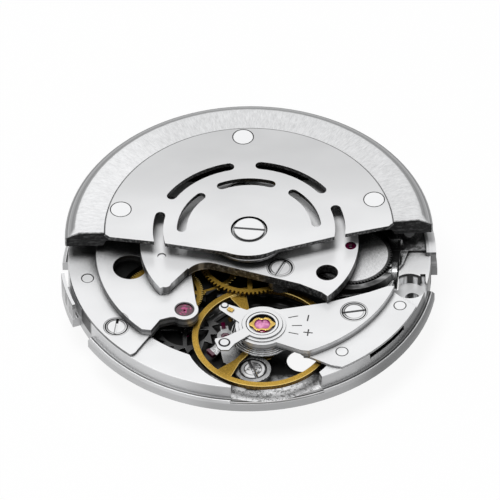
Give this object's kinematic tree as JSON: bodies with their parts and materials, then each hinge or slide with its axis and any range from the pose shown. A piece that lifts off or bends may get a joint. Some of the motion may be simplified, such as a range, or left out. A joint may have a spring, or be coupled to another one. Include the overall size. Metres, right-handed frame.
{
  "type": "watch movement",
  "caption": "Round self-winding watch movement: half-disc rotor on a ball bearing, plated bridges, gilt balance with regulator, jewelled train, flange and stem bore.",
  "frame": {"origin": "on the axis of the hands at the dial seat, in the plane that the dial rests on", "axes": "+Z from the dial towards the rotor, +X along the winding stem to the crown, +Y completes the frame"},
  "size_m": [0.026, 0.026, 0.007],
  "materials": {
    "plated": "nickel plated brass, grained and polished",
    "rotor_plated": "nickel plated, brushed in circles",
    "weight": "heavy alloy, turned",
    "polished_steel": "polished",
    "steel": "fine ground steel",
    "spring_steel": "blued grey spring alloy",
    "gilt": "gilt brass",
    "ruby": "polished synthetic ruby",
    "pink_ruby": "polished synthetic ruby, pale"
  },
  "bodies": {
    "frame_plate": {"main_plate": "plated", "train_bridge": "plated", "barrel_bridge": "plated", "automatic_bridge": "plated", "balance_cock": "plated", "pallet_bridge": "plated", "bridge_screws": "polished_steel", "automatic_screws": "polished_steel", "pallet_screws": "polished_steel", "locating_pins": "polished_steel", "plate_jewels": "ruby", "bridge_jewels": "ruby", "automatic_jewel": "ruby", "lower_shock": "gilt", "shock_block": "gilt", "shock_spring": "gilt", "cap_jewel": "pink_ruby", "stud_carrier": "steel", "hairspring_stud": "gilt", "hairspring": "spring_steel", "bearing_core": "steel", "rotor_screw": "polished_steel", "click_spring": "steel", "keyless_cover": "steel"},
    "rotor": {"rotor_plate": "rotor_plated", "rotor_weight": "weight", "rotor_rivets": "polished_steel", "rotor_hub": "steel", "bearing_balls": "steel"},
    "reverser": {"reverser_wheel": "gilt"},
    "reduction": {"reduction_wheel": "gilt"},
    "crown": {"crown_wheel": "steel"},
    "ratchet": {"ratchet_wheel": "steel", "barrel_arbor": "steel", "ratchet_screw": "steel"},
    "fourth": {"fourth_wheel": "gilt"},
    "third": {"third_wheel": "gilt"},
    "centre": {"centre_wheel": "gilt"},
    "seconds": {"seconds_arbor": "steel"},
    "escape": {"escape_wheel": "steel"},
    "barrel": {"barrel_drum": "gilt", "barrel_cover": "gilt", "mainspring": "spring_steel"},
    "cannon": {"cannon_pinion": "steel"},
    "minute": {"minute_wheel": "gilt"},
    "hour": {"hour_wheel": "gilt"},
    "setting": {"setting_wheel": "steel"},
    "pallet": {"pallet_fork": "steel", "pallet_stones": "ruby"},
    "balance": {"balance_wheel": "gilt", "balance_staff": "steel", "roller_table": "steel", "impulse_jewel": "ruby"},
    "regulator": {"regulator_index": "steel", "regulator_pin": "steel"},
    "click_pawl": {"click": "steel"},
    "winding": {"winding_pinion": "steel"},
    "clutch": {"sliding_pinion": "steel"},
    "yoke_arm": {"yoke": "steel"},
    "lever": {"setting_lever": "steel"}
  },
  "joints": [
    {"name": "rotor_spin", "type": "hinge", "parent": "frame_plate", "child": "rotor", "pos_m": [0, 0, 0.00505], "axis": [0, 0, 1], "continuous": true},
    {"name": "reverser_spin", "type": "hinge", "parent": "frame_plate", "child": "reverser", "pos_m": [0.00076, 0.00312, 0.004], "axis": [0, 0, 1], "continuous": true},
    {"name": "reduction_spin", "type": "hinge", "parent": "frame_plate", "child": "reduction", "pos_m": [0.00382, 0.0012, 0.0036], "axis": [0, 0, 1], "continuous": true},
    {"name": "crown_spin", "type": "hinge", "parent": "frame_plate", "child": "crown", "pos_m": [0.00701, 0.0001, 0.0034], "axis": [0, 0, 1], "continuous": true},
    {"name": "ratchet_spin", "type": "hinge", "parent": "frame_plate", "child": "ratchet", "pos_m": [0.0036, 0.00422, 0.003], "axis": [0, 0, 1], "continuous": true},
    {"name": "fourth_spin", "type": "hinge", "parent": "frame_plate", "child": "fourth", "pos_m": [-0.00569, -0.00354, 0.0025], "axis": [0, 0, 1], "continuous": true},
    {"name": "third_spin", "type": "hinge", "parent": "frame_plate", "child": "third", "pos_m": [-0.00398, 0.00004, 0.0024], "axis": [0, 0, 1], "continuous": true},
    {"name": "centre_spin", "type": "hinge", "parent": "frame_plate", "child": "centre", "pos_m": [0, 0, 0.0028], "axis": [0, 0, 1], "continuous": true},
    {"name": "seconds_spin", "type": "hinge", "parent": "frame_plate", "child": "seconds", "pos_m": [0, 0, 0.002], "axis": [0, 0, 1], "continuous": true},
    {"name": "escape_spin", "type": "hinge", "parent": "frame_plate", "child": "escape", "pos_m": [-0.00406, -0.00602, 0.0017], "axis": [0, 0, 1], "continuous": true},
    {"name": "barrel_spin", "type": "hinge", "parent": "frame_plate", "child": "barrel", "pos_m": [0.0036, 0.00422, 0.0018], "axis": [0, 0, 1], "continuous": true},
    {"name": "cannon_spin", "type": "hinge", "parent": "frame_plate", "child": "cannon", "pos_m": [0, 0, 0.0005], "axis": [0, 0, 1], "continuous": true},
    {"name": "minute_spin", "type": "hinge", "parent": "frame_plate", "child": "minute", "pos_m": [0.00197, -0.0008, 0.0004], "axis": [0, 0, 1], "continuous": true},
    {"name": "hour_spin", "type": "hinge", "parent": "frame_plate", "child": "hour", "pos_m": [0, 0, 0.0002], "axis": [0, 0, 1], "continuous": true},
    {"name": "setting_spin", "type": "hinge", "parent": "frame_plate", "child": "setting", "pos_m": [0.00523, -0.00014, 0.0004], "axis": [0, 0, 1], "continuous": true},
    {"name": "pallet_swing", "type": "hinge", "parent": "frame_plate", "child": "pallet", "pos_m": [-0.00118, -0.00689, 0.0017], "axis": [0, 0, 1], "range_deg": [-4, 4]},
    {"name": "balance_swing", "type": "hinge", "parent": "frame_plate", "child": "balance", "pos_m": [0.0014, -0.00729, 0.0024], "axis": [0, 0, 1], "range_deg": [-270, 270]},
    {"name": "regulator_turn", "type": "hinge", "parent": "frame_plate", "child": "regulator", "pos_m": [0.0014, -0.00729, 0.0038], "axis": [0, 0, 1], "range_deg": [-8, 8]},
    {"name": "click_turn", "type": "hinge", "parent": "frame_plate", "child": "click_pawl", "pos_m": [0.00006, 0.00562, 0.0033], "axis": [0, 0, 1], "range_deg": [0, 8]},
    {"name": "winding_spin", "type": "hinge", "parent": "frame_plate", "child": "winding", "pos_m": [0.0095, 0, 0.00175], "axis": [1, 0, 0], "continuous": true},
    {"name": "clutch_slide", "type": "slide", "parent": "frame_plate", "child": "clutch", "axis": [1, 0, 0], "range_m": [-0.0005, 0]},
    {"name": "yoke_turn", "type": "hinge", "parent": "frame_plate", "child": "yoke_arm", "pos_m": [0.0098, -0.0036, 0.0003], "axis": [0, 0, 1], "range_deg": [0, 8]},
    {"name": "lever_turn", "type": "hinge", "parent": "frame_plate", "child": "lever", "pos_m": [0.0064, -0.0026, 0.0005], "axis": [0, 0, 1], "range_deg": [0, 6]}
  ],
  "couplings": [
    {"joint": "reverser_spin", "follows": "rotor_spin", "ratio": -0.52632},
    {"joint": "reduction_spin", "follows": "rotor_spin", "ratio": 0.08489},
    {"joint": "crown_spin", "follows": "rotor_spin", "ratio": -0.013404},
    {"joint": "ratchet_spin", "follows": "rotor_spin", "ratio": 0.015672},
    {"joint": "winding_spin", "follows": "rotor_spin", "ratio": 0.050934},
    {"joint": "third_spin", "follows": "fourth_spin", "ratio": -0.125},
    {"joint": "centre_spin", "follows": "fourth_spin", "ratio": 0.016667},
    {"joint": "seconds_spin", "follows": "fourth_spin", "ratio": 1},
    {"joint": "escape_spin", "follows": "fourth_spin", "ratio": -12},
    {"joint": "barrel_spin", "follows": "fourth_spin", "ratio": -0.002381},
    {"joint": "cannon_spin", "follows": "fourth_spin", "ratio": 0.016667},
    {"joint": "minute_spin", "follows": "fourth_spin", "ratio": -0.0055556},
    {"joint": "hour_spin", "follows": "fourth_spin", "ratio": 0.0013889},
    {"joint": "setting_spin", "follows": "fourth_spin", "ratio": 0.005},
    {"joint": "yoke_turn", "follows": "clutch_slide", "rad_per_m": -277.8},
    {"joint": "lever_turn", "follows": "clutch_slide", "rad_per_m": -200}
  ]
}
